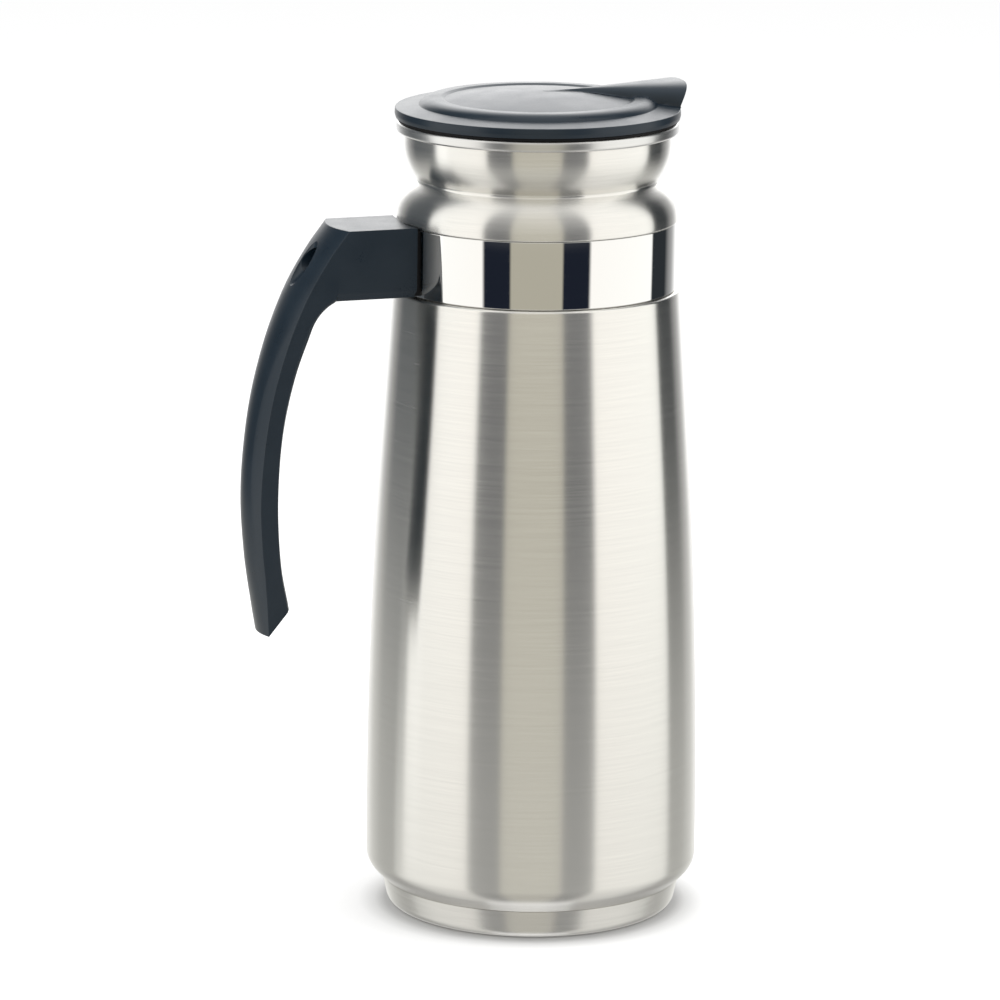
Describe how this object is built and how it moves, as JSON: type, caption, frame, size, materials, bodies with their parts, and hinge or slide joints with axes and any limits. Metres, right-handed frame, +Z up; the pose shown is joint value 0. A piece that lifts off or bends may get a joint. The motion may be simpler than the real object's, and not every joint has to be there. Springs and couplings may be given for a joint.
{
  "type": "vacuum insulated coffee jug",
  "caption": "Tall double-walled steel coffee jug with a recessed polished collar, open bow handle and a round rotating pour lid with a low hood.",
  "frame": {"origin": "centre of the base on the vessel's axis, on the surface it stands on", "axes": "+Z up along the vessel; -X towards the handle; +X towards the pouring hood"},
  "size_m": [0.1692, 0.1198, 0.3001],
  "materials": {
    "brushed_shell": "circumferentially brushed, satin",
    "mirror_band": "mirror polished",
    "inner_steel": "plain 2B rolled, electropolished",
    "screw_steel": "plain stainless fastener",
    "foil": "bright foil",
    "getter_metal": "sintered grey",
    "solder_glass": "fired solder glass",
    "black_plastic": "fine moulded satin",
    "stopper_plastic": "moulded satin",
    "foam": "closed-cell insulating foam",
    "black_silicone": "matt silicone",
    "seal_silicone": "translucent grey silicone"
  },
  "bodies": {
    "carafe": {"base_cup": "brushed_shell", "base_pad": "black_silicone", "outer_shell": "brushed_shell", "neck_shell": "brushed_shell", "inner_bottom": "inner_steel", "inner_vessel": "inner_steel", "inner_neck": "inner_steel", "radiation_foil": "foil", "shell_bottom": "inner_steel", "vacuum_plug": "solder_glass", "getter": "getter_metal", "getter_clip": "inner_steel", "collar_band": "mirror_band", "handle_bracket": "inner_steel", "handle_gasket": "black_silicone", "handle": "black_plastic", "handle_washer": "screw_steel", "handle_screw": "screw_steel"},
    "stopper": {"stopper_body": "stopper_plastic", "stopper_base": "stopper_plastic", "stopper_foam": "foam", "stopper_seal": "seal_silicone", "rim_seal": "black_silicone", "port_seal": "seal_silicone"},
    "lid": {"lid_cover": "black_plastic", "channel_floor": "stopper_plastic", "pivot_screw": "screw_steel", "wave_washer": "screw_steel"}
  },
  "joints": [
    {"name": "stopper_lift", "type": "slide", "parent": "carafe", "child": "stopper", "axis": [0, 0, 1], "range_m": [0, 0.045]},
    {"name": "lid_turn", "type": "hinge", "parent": "stopper", "child": "lid", "pos_m": [0, 0, 0.29], "axis": [0, 0, 1], "range_deg": [0, 90]}
  ]
}
